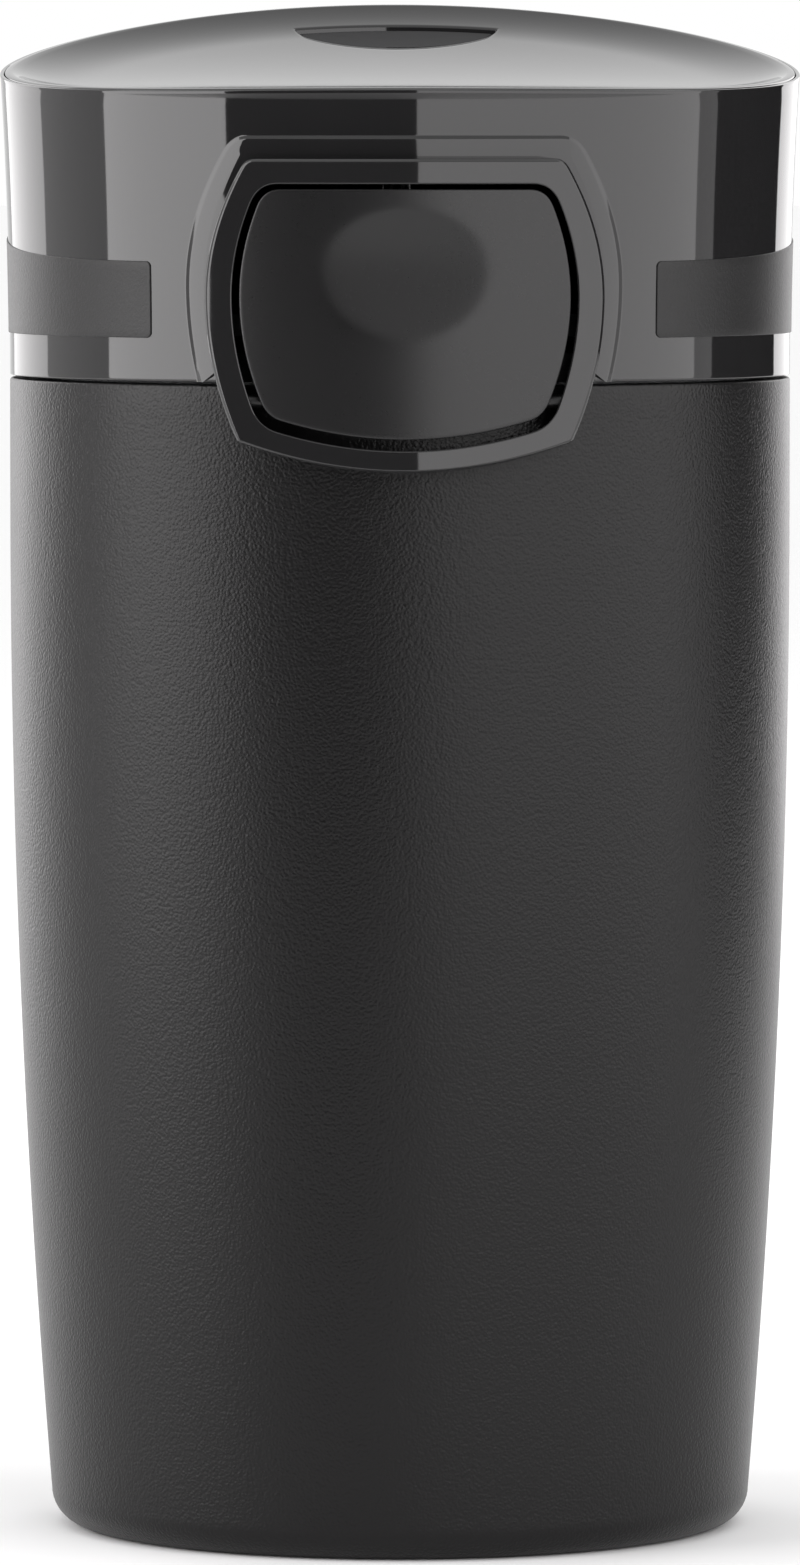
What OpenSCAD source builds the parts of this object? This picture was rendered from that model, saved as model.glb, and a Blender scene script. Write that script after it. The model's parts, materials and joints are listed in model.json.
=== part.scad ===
// Insulated one-hand tumbler: a double-walled steel vessel and a screw-on lid
// with a push button that opens a sprung drinking valve.
// Millimetres, +Z up, origin on the axis at the foot, button towards -Y.

/* [Vessel] */
// Outer radius of the straight upper part of the body
body_r = 36.6; // [36.2:0.1:36.8]
// Height of the body up to its shoulder
body_h = 107.9; // [107:0.1:108]
// Height above which the wall is straight
straight_z = 95; // [90:1:98]
// Radius of the long arc that narrows the body towards its foot
side_arc_r = 1120; // [1050:10:1300]
// Radius of the rolled bottom corner
foot_corner = 3.3; // [2.5:0.1:4]
// Thickness of the steel walls
wall = 0.5; // [0.5:0.1:0.7]
// Vacuum gap between the walls
vacuum_gap = 3.2; // [2.8:0.1:3.2]
// Height of the liner's outer floor
liner_z = 6.6; // [6:0.1:8]

/* [Lid] */
// Outer radius at the rim
rim_r = 37.5; // [37.3:0.1:37.6]
// Height of the rim at its lowest line
rim_z = 134.9; // [134.5:0.1:135.5]
// Radius of the saddle curve that the rim follows
rim_arc_r = 284; // [280:1:300]
// Distance in front of the axis of the rim's lowest line
rim_low_y = 30.84; // [29:0.1:32]
// Depth of the dished top below the rim
dish_depth = 1.25; // [1:0.05:1.5]
// Thickness of the top cover
cover_t = 1.9; // [1.7:0.1:2]
// Wall of the collar
collar_wall = 2.25; // [2.1:0.05:2.3]
// Seam between the body and the lid
lid_gap = 0.25; // [0.2:0.05:0.3]

/* [Grip band] */
// Lower edge of the band
band_z = 112.1; // [111:0.1:113]
// Height of the band's upper edge at its lowest line
band_top_z = 119.1; // [118:0.1:120]
// Radius of the curve of the band's upper edge
band_arc_r = 270; // [260:1:290]
// Half of the angle at the front that the band leaves free
band_gap = 39; // [38:0.5:42]
// Depth of the band's groove
band_depth = 0.8; // [0.6:0.1:0.9]
// How far the band stands proud of the collar
band_proud = 0.08; // [0.05:0.01:0.12]

/* [Button] */
// Radius of the bezel's face round the main axis
bezel_r = 40.2; // [40:0.1:40.5]
// Radius of the button's face round the main axis
button_r = 40.0; // [39.9:0.1:40.1]
// Height of the button's hinge
hinge_z = 106.5; // [106.3:0.1:106.6]
// Distance of the button's hinge in front of the axis
hinge_y = 36.2; // [36.1:0.1:36.3]
// Radius of the hinge pins
pin_r = 0.6; // [0.5:0.05:0.65]
// Depth of the thumb dimple
dimple_depth = 0.75; // [0.5:0.05:0.8]
// Half of the dimple's height
dimple_h = 5.9; // [5:0.1:6.5]

/* [Thread] */
// Lead of the single-start thread
lead = 5.0; // [4.8:0.1:5.5]
// Height of the thread ridges
ridge_h = 1.1; // [1:0.05:1.15]
// Width of the thread ridges along the axis
ridge_w = 1.8; // [1.6:0.1:2]
// Lugs that one turn of the interrupted thread is made of
lugs = 5; // [4:1:6]

/* [Hidden] */
$fn = 96;

big = 200;            // larger than the whole object
big_fn = 720;         // fragments of the long saddle curves
eps = 0.01;           // run-out of a cut past a face
clear = 0.3;          // gap between pieces that move past each other
seam = 0.1;           // gap between pieces that are assembled

lid_z = body_h + lid_gap;
liner_r = body_r - wall - vacuum_gap;        // outer radius of the liner's mouth
mouth_r = liner_r - wall;                    // inner radius of the liner's mouth
rim_arc_z = rim_z + rim_arc_r;               // height of the rim curve's centre
collar_in_r = body_r - collar_wall;
flare_h = 27.6;                              // height over which the collar widens
lip_r = rim_r - 0.4;                         // inside of the collar's thin top lip
bezel_back_r = body_r + 0.35;
pocket_r = bezel_back_r - seam;              // the collar's pocket behind the bezel
button_back_r = button_r - 1.7;
window_z = lid_z + 1.5;                      // sill of the collar's window behind the button

shell_floor_z = 2.4;                         // underside of the shell's floor
base_recess_r = 28.2;                        // recess under the foot that takes the base cap
base_cap_t = 1.4;
insert_r = mouth_r - ridge_h - 0.4;          // root radius of the insert's thread
insert_z = 96;                               // underside of the insert
thread_z = 98;                               // start of the male thread
insert_floor = 2;
insert_wall = 2;
flange_z = body_h + 1.2;                     // underside of the insert's flange
flange_t = 1.6;
ledge_z = flange_z + flange_t + seam;        // the collar's inner ledge
ledge_t = 1.4;
deck_z = ledge_z + ledge_t + seam;           // deck of the mechanism frame
deck_t = 2;

band_groove_r = body_r - band_depth;         // floor of the band's groove
flange_r = collar_in_r - clear;              // flange of the insert and deck of the frame
ledge_in_r = 31.8;
screw_angles = [35, 145, 215, 325];
screw_circle_r = 24;
screw_r = 1.1;
boss_r = 4.2;                                // guide of the stem in the insert's floor
boss_z = 101;
seal_z = 98.9;
vent_y = 18;
vent_r = 2.6;
pin_end_x = 15.3;                            // outer ends of the hinge pins
ear_x = 11.4;                                // their inner ends

slider_w = 8;
slider_z = 117.5;
slider_t = 6.5;
slider_y0 = -34.45;                          // the slider's front end
ramp_z = 118;                                // height of the ramp plane on the axis
ramp_gap = 0.35;
head_z = 113;                                // underside of the stem's head
head_r = 5.8;
stem_r = 2.2;
post_y = 24.6;
post_d = 3.4;
bar_z = 92;
bar_t = 2.4;
post_w = 4.8;
plug_z = 134.2;                              // underside of the drinking plug

opening_rear_r = 32.6;                       // rear edge of the drinking opening
opening_arc_r = 10.02;                       // its front edge
opening_arc_y = 33.62;
duct_front_r = 11.2;
duct_rear_r = 33.2;
duct_low_rear_r = insert_r - 1.5;
duct_wall = 1.1;
duct_joint_z = 111.6;                        // top of the insert's duct
duct_step_z = 116.2;                         // where the cover's duct widens

// Outlines of the button group as [widest half, its height, upper arc, lower arc,
// top height, bottom height, bottom arc, corner radius]
PAD = [20.0, 117, 21.7, 35.6, 130.7, 107.0, 400, 1.7];
BEZEL = [17.9, 116, 21.0, 28.5, 128.3, 100.1, 42.1, 0.7];
WINDOW = [15.7, 116, 21.0, 27.4, 126.2, 102.1, 39.6, 1.6];
BUTTON = [14.9, 116, 21.0, 23.0, 125.6, 103.2, 38.0, 1.5];

function body_radius(z) = body_r - (z < straight_z ? pow(straight_z - z, 2) / (2 * side_arc_r) : 0);
function collar_radius(z) = body_r + (rim_r - 0.05 - body_r) * pow(max(z - lid_z, 0) / flare_h, 2);
function half_width(o, z) = o[0] - pow(z - o[1], 2) / (2 * (z > o[1] ? o[2] : o[3]));
function bottom_z(o, x) = o[5] + x * x / (2 * o[6]);
function corner_x(o) = half_width(o, bottom_z(o, half_width(o, o[5] + 2)));
function right_side(o, n = 12) = let (z0 = bottom_z(o, corner_x(o)))
    [for (i = [0:n]) let (z = z0 + (o[4] - z0) * i / n) [half_width(o, z), z]];
function bottom_edge(o, n = 10) = let (c = corner_x(o))
    [for (i = [1:n - 1]) let (x = -c + 2 * c * i / n) [x, bottom_z(o, x)]];

// ---- shared shapes ----

module outline(o) {
    right = right_side(o);
    left = [for (p = reversed(right)) [-p[0], p[1]]];
    offset(r = o[7], $fn = 32) offset(delta = -o[7]) polygon(concat(right, left, bottom_edge(o)));
}

// A front-view outline carried back from the front to the plane y = -depth
module front_prism(o, depth = 20) {
    translate([0, -depth, 0]) rotate([90, 0, 0]) linear_extrude(40) outline(o);
}

module ring(r_out, r_in, z0, z1) {
    translate([0, 0, z0]) difference() {
        cylinder(r = r_out, h = z1 - z0);
        translate([0, 0, -eps]) cylinder(r = r_in, h = z1 - z0 + 2 * eps);
    }
}

module disc(r, z0, z1) {
    translate([0, 0, z0]) cylinder(r = r, h = z1 - z0);
}

// Everything above the rim's saddle curve lowered by drop
module above_rim(drop = 0) {
    translate([0, -rim_low_y, rim_arc_z]) rotate([0, 90, 0])
        cylinder(r = rim_arc_r + drop, h = big, center = true, $fn = big_fn);
}

// Lens of the drinking opening, grown for the duct round it
module lens(front_r, rear_r, z0, z1) {
    translate([0, 0, z0]) intersection() {
        cylinder(r = rear_r, h = z1 - z0);
        translate([0, opening_arc_y, 0]) cylinder(r = front_r, h = z1 - z0);
    }
}

// One lug of the thread: a ridge along an arc, tilted to the thread's slope
module lug(r_root, r_tip, span) {
    tilt = atan(lead / (2 * PI * r_root));
    flank = ridge_w / 6;
    base = r_tip > r_root ? -0.3 : 0.3;
    rotate([tilt, 0, 0]) rotate([0, 0, -span / 2]) rotate_extrude(angle = span)
        polygon([[r_root + base, -ridge_w / 2], [r_tip, -ridge_w / 2 + flank],
                 [r_tip, ridge_w / 2 - flank], [r_root + base, ridge_w / 2]]);
}

module thread(r_root, r_tip, z0) {
    pitch_angle = 360 / lugs;
    for (i = [0:lugs - 1])
        rotate([0, 0, i * pitch_angle]) translate([0, 0, z0 + lead * i / lugs])
            lug(r_root, r_tip, pitch_angle * 0.86);
}

module spring(r, wire_r, z0, z1, turns) {
    steps = 14;
    sides = 6;
    n = turns * steps;
    pitch = (z1 - z0 - 2 * wire_r) / turns;
    points = [for (i = [0:n], j = [0:sides - 1])
        let (a = 360 * i / steps, b = 360 * j / sides, d = r + wire_r * cos(b))
        [d * cos(a), d * sin(a), z0 + wire_r + pitch * i / steps + wire_r * sin(b)]];
    tube = [for (i = [0:n - 1], j = [0:sides - 1]) let (k = (j + 1) % sides)
        [i * sides + j, (i + 1) * sides + j, (i + 1) * sides + k, i * sides + k]];
    ends = [[for (j = [0:sides - 1]) j], [for (j = [sides - 1:-1:0]) n * sides + j]];
    polyhedron(points, concat(tube, ends));
}

// ---- vessel ----

function reversed(list) = [for (i = [len(list) - 1:-1:0]) list[i]];

function wall_line(inset, z0, z1, n = 14) =
    [for (i = [0:n]) let (z = z0 + (z1 - z0) * i / n) [body_radius(z) - inset, z]];

function corner_line(r_in, z_in, radius, n = 8) =
    [for (i = [0:n]) let (a = 90 * i / n) [r_in + radius * sin(a), z_in + radius * (1 - cos(a))]];

module outer_shell() {
    foot_r = body_radius(foot_corner) - foot_corner;
    floor_z = shell_floor_z;
    inner = foot_corner - wall;
    shoulder = 1.2;
    shoulder_cut = 0.35;
    color("#3a393a") rotate_extrude() polygon(concat(
        [[0, floor_z], [base_recess_r, floor_z], [base_recess_r, 0]],
        corner_line(foot_r, 0, foot_corner),
        wall_line(0, foot_corner + 4, body_h - shoulder),
        [[body_r - shoulder_cut, body_h - shoulder_cut], [body_r - shoulder, body_h],
         [liner_r, body_h], [liner_r, body_h - wall], [body_r - shoulder, body_h - wall],
         [body_r - wall, body_h - shoulder - wall]],
        reversed(wall_line(wall, foot_corner + 4, body_h - shoulder - wall - 1)),
        [[foot_r + inner, floor_z + wall + 2], [foot_r - 1, floor_z + wall], [0, floor_z + wall]]
    ));
}

module inner_liner() {
    corner = 6;
    top = body_h;
    foot_r = body_radius(liner_z + corner) - wall - vacuum_gap - corner;
    color("#b9b9b6") union() {
        rotate_extrude() polygon(concat(
            [[0, liner_z]],
            corner_line(foot_r, liner_z, corner),
            wall_line(wall + vacuum_gap, liner_z + corner + 4, top - 4),
            [[liner_r, top], [mouth_r, top]],
            reversed(wall_line(2 * wall + vacuum_gap, liner_z + corner + 4, top - 4)),
            reversed(corner_line(foot_r, liner_z + wall, corner - wall)),
            [[0, liner_z + wall]]
        ));
        thread(mouth_r, mouth_r - ridge_h, thread_z + lead / 2);
    }
}

module base_cap() {
    color("#8d8d8b") disc(base_recess_r - seam, 0, base_cap_t);
}

module vacuum_plug() {
    color("#6e6e6c") disc(3, base_cap_t + seam, shell_floor_z);
}

module getter() {
    color("#9a9a96") translate([12, 0, 0]) disc(4, shell_floor_z + wall, 5.2);
}

module main_gasket() {
    color("#8f8f8d") rotate_extrude()
        polygon([[32.2, body_h + 0.02], [33.9, body_h + 0.02], [34.1, body_h + 0.5],
                 [33.8, flange_z - 0.05], [32.3, flange_z - 0.05], [32.1, body_h + 0.5]]);
}

// ---- lid ----

module collar_profile() {
    top = 145;
    steps = 8;
    z0 = lid_z + 0.3;
    outer = [for (i = [0:steps]) let (z = z0 + (rim_z + 0.6 - z0) * i / steps) [collar_radius(z), z]];
    polygon(concat([[collar_in_r, lid_z], [body_r - 0.3, lid_z]], outer,
                   [[rim_r, rim_z + 2], [rim_r, top], [collar_in_r, top]]));
}

// The band's room between two radii, grown by grow at its edges
module band_space(r_out, r_in, grow) {
    top = 132;
    intersection() {
        ring(r_out, r_in, band_z - grow, top);
        difference() {
            disc(r_out + 1, band_z - 1, top + 1);
            translate([0, -rim_low_y, band_top_z + band_arc_r]) rotate([0, 90, 0])
                cylinder(r = band_arc_r - grow, h = big, center = true, $fn = big_fn);
        }
        rotate([0, 0, -90 + band_gap - grow]) rotate_extrude(angle = 360 - 2 * band_gap + 2 * grow)
            translate([r_in - 10, band_z - 1]) square([r_out, top - band_z]);
    }
}

module lid_collar() {
    pad_top = 131.5;
    pad_rise = 0.45;
    pad_steps = 8;
    pocket = [for (i = [0:7]) BEZEL[i] + (i == 0 || i == 4 ? seam : 0)];
    color("#151516") difference() {
        union() {
            rotate_extrude() collar_profile();
            ring(collar_in_r + 0.5, ledge_in_r, ledge_z, ledge_z + ledge_t);
            intersection() {
                front_prism(PAD);
                rotate_extrude() polygon(concat(
                    [[collar_in_r + 0.5, lid_z]],
                    [for (i = [0:pad_steps]) let (z = lid_z + (pad_top - lid_z) * i / pad_steps)
                        [collar_radius(z) + pad_rise, z]],
                    [[collar_in_r + 0.5, pad_top]]));
            }
        }
        intersection() {
            disc(lip_r, 128, 150);
            above_rim(dish_depth + cover_t + seam);
        }
        intersection() {
            disc(50, 128, 150);
            above_rim(0.45);
        }
        band_space(50, band_groove_r, 0);
        intersection() {
            front_prism(pocket);
            ring(60, pocket_r, 90, 140);
        }
        intersection() {
            front_prism(WINDOW);
            translate([-30, -60, window_z]) cube([60, 50, 40]);
        }
    }
}

module grip_band() {
    edge = 0.12;
    z0 = 105;
    z1 = 130.6;
    steps = 8;
    color("#2c2c2d") intersection() {
        band_space(50, band_groove_r + 0.05, -edge);
        rotate_extrude() polygon(concat(
            [[band_groove_r - 1, z0]],
            [for (i = [0:steps]) let (z = z0 + (z1 - z0) * i / steps) [collar_radius(z) + band_proud, z]],
            [[band_groove_r - 1, z1]]));
    }
}

module top_cover() {
    cover_r = lip_r - seam;
    dish_r = 36.0;
    skirt_r = collar_in_r - seam;
    under = dish_depth + cover_t;
    color("#111112") difference() {
        union() {
            intersection() {
                disc(cover_r, 125, 150);
                above_rim(under);
            }
            ring(skirt_r, skirt_r - 1.3, 127, 142);
            lens(duct_front_r + duct_wall, duct_rear_r + 0.9, duct_step_z, 141);
            lens(duct_front_r + duct_wall, duct_low_rear_r + duct_wall, duct_joint_z + 1.4, duct_step_z + 1);
        }
        above_rim(0);
        intersection() {
            disc(dish_r, 125, 150);
            above_rim(dish_depth);
        }
        lens(opening_arc_r, opening_rear_r, 130, 150);
        difference() {
            lens(duct_front_r, duct_rear_r, duct_step_z + 1.5, 150);
            above_rim(under);
        }
        lens(duct_front_r, duct_low_rear_r, duct_joint_z, duct_step_z + 2);
    }
}

module button_bezel() {
    color("#161617") difference() {
        intersection() {
            front_prism(BEZEL);
            ring(bezel_r, bezel_back_r, 90, 140);
        }
        front_prism(WINDOW);
        translate([0, -hinge_y, hinge_z]) rotate([0, 90, 0])
            cylinder(r = pin_r, h = 2 * pin_end_x, center = true);
    }
}

// Two stub pins pressed into the bezel's sides
module button_pins() {
    color("#b0b0ad") for (side = [-1, 1])
        translate([side * (pin_end_x + ear_x) / 2, -hinge_y, hinge_z]) rotate([0, 90, 0])
            cylinder(r = pin_r, h = pin_end_x - ear_x, center = true);
}

module lid_insert() {
    color("#232324") difference() {
        union() {
            ring(insert_r, insert_r - insert_wall, insert_z, flange_z + 0.5);
            disc(insert_r - 1, insert_z, insert_z + insert_floor);
            ring(flange_r, insert_r - insert_wall, flange_z, flange_z + flange_t);
            thread(insert_r, insert_r + ridge_h, thread_z);
            disc(boss_r, insert_z, boss_z);
            lens(duct_front_r + duct_wall, duct_low_rear_r + duct_wall, insert_z, duct_joint_z);
            for (a = screw_angles) rotate([0, 0, a]) translate([screw_circle_r, 0, 0])
                disc(3.1, insert_z + 1, deck_z - seam);
        }
        disc(stem_r + 0.08, insert_z - 1, boss_z + 1);
        disc(stem_r + 1.35, seal_z - 0.7, seal_z + 0.7);
        translate([0, -vent_y, 0]) disc(vent_r, insert_z - 1, insert_z + insert_floor + 1);
        lens(duct_front_r, duct_low_rear_r, insert_z - 1, duct_joint_z + 1);
        for (a = screw_angles) rotate([0, 0, a]) translate([screw_circle_r, 0, 0])
            disc(screw_r, deck_z - 7, deck_z + 1);
    }
}

module mechanism_frame() {
    deck_top = deck_z + deck_t;
    rail_x = slider_w / 2 + clear;
    rail_t = 2;
    rail_len = 22;
    rail_y0 = -30;
    lip = 0.5;
    lip_z = slider_z + slider_t + 0.4;
    front_r = duct_front_r + duct_wall + clear;
    rear_r = duct_low_rear_r + duct_wall + clear;
    color("#3c3c3e") difference() {
        union() {
            disc(flange_r, deck_z, deck_top);
            translate([-rail_x - rail_t, rail_y0, deck_top - 0.5])
                cube([2 * (rail_x + rail_t), rail_len, slider_z - clear - deck_top + 0.5]);
            for (side = [-1, 1]) {
                translate([side * (rail_x + rail_t / 2) - rail_t / 2, rail_y0, deck_top - 0.5])
                    cube([rail_t, rail_len, slider_z + slider_t + 1.6 - deck_top + 0.5]);
                translate([side * (rail_x + rail_t / 2 - lip) - rail_t / 2 - lip, rail_y0, lip_z])
                    cube([rail_t + 2 * lip, rail_len, 1.2]);
            }
        }
        disc(head_r + 0.6, deck_z - 1, deck_top + 1);
        lens(front_r, rear_r, deck_z - 1, deck_top + 1);
        for (a = screw_angles) rotate([0, 0, a]) translate([screw_circle_r, 0, 0])
            disc(screw_r + 0.2, deck_z - 1, deck_top + 1);
    }
}

module frame_screws() {
    head_t = 1.5;
    deck_top = deck_z + deck_t;
    color("#a8a8a5") for (a = screw_angles) rotate([0, 0, a]) translate([screw_circle_r, 0, 0])
        difference() {
            union() {
                disc(screw_r, deck_z - 6, deck_top + 0.1);
                disc(2.3, deck_top, deck_top + head_t);
            }
            for (turn = [0, 90]) rotate([0, 0, turn])
                translate([-1.4, -0.3, deck_top + 0.8]) cube([2.8, 0.6, 1]);
        }
}

module duct_seal() {
    gap = 0.03;
    seal_t = 1.34;
    z0 = duct_joint_z + gap;
    color("#77777a") difference() {
        lens(duct_front_r + duct_wall, duct_low_rear_r + duct_wall, z0, z0 + seal_t);
        lens(duct_front_r, duct_low_rear_r, duct_joint_z - 1, duct_joint_z + 2);
    }
}

module stem_seal() {
    ring_r = 0.6;
    color("#77777a") rotate_extrude() translate([stem_r + 0.08 + ring_r, seal_z])
        circle(r = ring_r, $fn = 32);
}

// ---- button and valve ----

module button() {
    arm_z = 120.75;
    arm_y = 35.9;
    arm_w = 6;
    arm_r = 1.2;
    ear_r = 1.15;
    ear_w = 1.2;
    ear_out_x = ear_x + 0.1 + ear_w;
    dimple_z = 118;
    dimple_r = pow(dimple_h, 2) / (2 * dimple_depth);
    color("#262627") difference() {
        union() {
            intersection() {
                front_prism(BUTTON);
                ring(button_r, button_back_r, 90, 140);
            }
            translate([-arm_w / 2, -button_back_r - 0.6, arm_z - arm_r])
                cube([arm_w, button_back_r + 0.6 - arm_y, 2 * arm_r]);
            translate([0, -arm_y, arm_z]) rotate([0, 90, 0])
                cylinder(r = arm_r, h = arm_w, center = true);
            for (side = [-1, 1]) translate([side * (ear_out_x - ear_w / 2), -hinge_y, hinge_z]) {
                rotate([0, 90, 0]) cylinder(r = ear_r, h = ear_w, center = true);
                translate([-ear_w / 2, -1.6, -ear_r]) cube([ear_w, 1.6, 2 * ear_r]);
            }
        }
        translate([0, dimple_depth - button_r - dimple_r, dimple_z]) rotate([0, 90, 0])
            cylinder(r = dimple_r, h = 30, center = true, $fn = big_fn);
        translate([0, -hinge_y, hinge_z]) rotate([0, 90, 0])
            cylinder(r = pin_r + 0.05, h = 40, center = true);
    }
}

module slider() {
    color("#d8d5cb") translate([slider_w / 2, 0, 0]) rotate([0, -90, 0]) linear_extrude(slider_w)
        polygon([[slider_z, slider_y0], [slider_z, slider_z - ramp_z - ramp_gap],
                 [slider_z + slider_t, slider_z + slider_t - ramp_z - ramp_gap],
                 [slider_z + slider_t, slider_y0]]);
}

module valve_stem() {
    head_half = 5;
    head_w = 7.2;
    head_top = 122.5;
    color("#d8d5cb") {
        disc(stem_r, bar_z + 0.5, head_z);
        disc(head_r, head_z - 1, head_z + 0.2);
        translate([head_w / 2, 0, 0]) rotate([0, -90, 0]) linear_extrude(head_w)
            polygon([[head_z, -head_half], [head_top, head_top - ramp_z], [head_top, head_half],
                     [head_z, head_half]]);
    }
}

module valve_carriage() {
    bar_w = 6;
    color("#4a4a4c") difference() {
        union() {
            disc(4.6, bar_z, insert_z - 0.6);
            translate([0, -vent_y, 0]) disc(3.8, bar_z, bar_z + bar_t);
            translate([-bar_w / 2, -vent_y, bar_z]) cube([bar_w, vent_y + post_y + post_d, bar_t]);
            translate([-post_w / 2, post_y, bar_z]) cube([post_w, post_d, plug_z + 0.6 - bar_z]);
        }
        disc(stem_r + 0.02, bar_z + 0.5, insert_z);
    }
}

module drink_plug() {
    fit = 0.35;
    color("#3b3b3c") difference() {
        union() {
            difference() {
                lens(opening_arc_r - fit, opening_rear_r - fit, plug_z + 1, 145);
                above_rim(dish_depth + 0.2);
            }
            difference() {
                lens(duct_front_r - fit, duct_rear_r - clear, plug_z, 145);
                above_rim(dish_depth + cover_t + 0.15);
            }
        }
        translate([-(post_w + seam) / 2, post_y - seam / 2, plug_z - 1])
            cube([post_w + seam, post_d + seam, 1.7]);
    }
}

module vent_plug() {
    color("#3b3b3c") translate([0, -vent_y, 0]) {
        disc(3.4, bar_z + bar_t, insert_z - seam);
        disc(2.2, insert_z - 0.2, insert_z + 1.6);
    }
}

module valve_spring() {
    color("#b0b0ad") spring(5, 0.4, insert_z + insert_floor + 0.05, head_z - 1.05, 5.5);
}

outer_shell();
inner_liner();
base_cap();
vacuum_plug();
getter();
main_gasket();
lid_collar();
grip_band();
top_cover();
button_bezel();
button_pins();
lid_insert();
mechanism_frame();
frame_screws();
duct_seal();
stem_seal();
button();
slider();
valve_stem();
valve_carriage();
drink_plug();
vent_plug();
valve_spring();
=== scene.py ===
"""Looks of the push-button tumbler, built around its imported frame.

The front, with the button, faces -Y. Angles round the axis are counted from the front, towards +X.
"""

import json
import math
from collections import namedtuple

import bmesh
import bpy
from bpy.props import FloatProperty, FloatVectorProperty, PointerProperty
from mathutils import Matrix, Vector


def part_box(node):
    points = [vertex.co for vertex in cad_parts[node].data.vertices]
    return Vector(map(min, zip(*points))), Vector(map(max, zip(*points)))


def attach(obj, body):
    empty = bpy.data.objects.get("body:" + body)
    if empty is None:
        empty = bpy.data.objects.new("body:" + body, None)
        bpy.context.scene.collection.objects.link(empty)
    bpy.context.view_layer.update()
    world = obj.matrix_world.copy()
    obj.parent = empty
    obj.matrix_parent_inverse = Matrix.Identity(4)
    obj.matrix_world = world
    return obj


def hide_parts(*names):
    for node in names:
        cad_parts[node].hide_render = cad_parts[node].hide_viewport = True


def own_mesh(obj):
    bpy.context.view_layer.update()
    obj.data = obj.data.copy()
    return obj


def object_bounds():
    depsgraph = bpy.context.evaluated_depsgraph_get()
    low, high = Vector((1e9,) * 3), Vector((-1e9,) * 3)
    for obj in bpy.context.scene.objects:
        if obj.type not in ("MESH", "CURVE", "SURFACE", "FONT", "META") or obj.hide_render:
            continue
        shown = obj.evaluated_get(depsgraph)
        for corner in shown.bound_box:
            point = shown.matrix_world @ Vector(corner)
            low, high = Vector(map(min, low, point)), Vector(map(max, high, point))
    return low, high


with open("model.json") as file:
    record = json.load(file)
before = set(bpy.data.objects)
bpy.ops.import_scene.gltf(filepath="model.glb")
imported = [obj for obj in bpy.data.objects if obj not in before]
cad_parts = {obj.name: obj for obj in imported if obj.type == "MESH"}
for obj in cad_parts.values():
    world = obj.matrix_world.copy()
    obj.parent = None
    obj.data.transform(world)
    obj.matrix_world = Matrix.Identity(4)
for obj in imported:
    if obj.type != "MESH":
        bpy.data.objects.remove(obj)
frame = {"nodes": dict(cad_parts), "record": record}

bl_info = {
    "name": "Push-button tumbler",
    "version": (1, 0, 0),
    "blender": (4, 5, 0),
    "location": "View3D > Sidebar > Tumbler",
    "description": "Builds the pieces, finishes and studio of an insulated push-button tumbler",
    "category": "Add Mesh",
}

CAD_BOX = [list(corner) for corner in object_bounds()]
MM = 0.001
MERGE = 1e-7
COLUMNS = 360

SHELL_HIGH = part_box("outer_shell")[1]
COLLAR_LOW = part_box("lid_collar")[0]
BEZEL_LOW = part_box("button_bezel")[0]
BUTTON_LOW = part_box("button")[0]
FLOOR_Z = CAD_BOX[0][2]


# ---- settings that a user would change ----

def length(name, description, default):
    return FloatProperty(name=name, description=description, default=default, min=0.0,
                         precision=5, unit="LENGTH")


def tint(name, description, default):
    return FloatVectorProperty(name=name, description=description, default=default, size=3,
                               min=0.0, max=1.0, subtype="COLOR")


def amount(name, description, default, high=1.0):
    return FloatProperty(name=name, description=description, default=default, min=0.0, max=high)


class VesselSettings(bpy.types.PropertyGroup):
    radius: length("Body radius", "Outer radius of the straight part", SHELL_HIGH.x)
    height: length("Body height", "Height of the shoulder", SHELL_HIGH.z)
    straight: length("Straight from", "Height above which the wall is straight", 95 * MM)
    side_arc: length("Side arc", "Radius of the long arc of the side", 1120 * MM)
    foot: length("Foot corner", "Radius of the rolled bottom corner", 3.3 * MM)
    wall: length("Wall", "Thickness of the steel", 0.5 * MM)


class LidSettings(bpy.types.PropertyGroup):
    low: length("Lower edge", "Height of the lid's lower edge", COLLAR_LOW.z)
    flare: length("Flare", "How much the collar widens up to the rim", 0.85 * MM)
    rim: length("Rim height", "Height of the rim at its lowest line", 134.9 * MM)
    rim_arc: length("Rim arc", "Radius of the rim's saddle curve", 284 * MM)
    rim_front: length("Rim low line", "Distance in front of the axis of the lowest line", 30.84 * MM)
    dish: length("Dish depth", "Depth of the dished top", 1.25 * MM)
    cover: length("Cover thickness", "Thickness of the top cover", 1.9 * MM)
    band_low: length("Band lower edge", "Height of the grip band's lower edge", 112.1 * MM)
    band_top: length("Band upper edge", "Height of its upper edge at the front", 119.1 * MM)
    band_arc: length("Band arc", "Radius of the curve of its upper edge", 270 * MM)
    band_gap: amount("Band gap", "Half of the angle that the band leaves free, in degrees", 39.0, 90.0)
    band_proud: length("Band stands proud", "How far the band stands off the collar", 0.12 * MM)


class ButtonSettings(bpy.types.PropertyGroup):
    bezel: length("Bezel radius", "Radius of the bezel's face round the axis", -BEZEL_LOW.y)
    face: length("Button radius", "Radius of the button's face round the axis", -BUTTON_LOW.y)
    back: length("Bezel back", "Radius of the bezel's back round the axis", 36.95 * MM)
    pad: length("Pad rise", "How far the collar's pad rises", 0.45 * MM)
    dimple: length("Dimple depth", "Depth of the thumb dimple", 0.75 * MM)
    dimple_half: length("Dimple half height", "Half of the dimple's height", 5.9 * MM)


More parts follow.
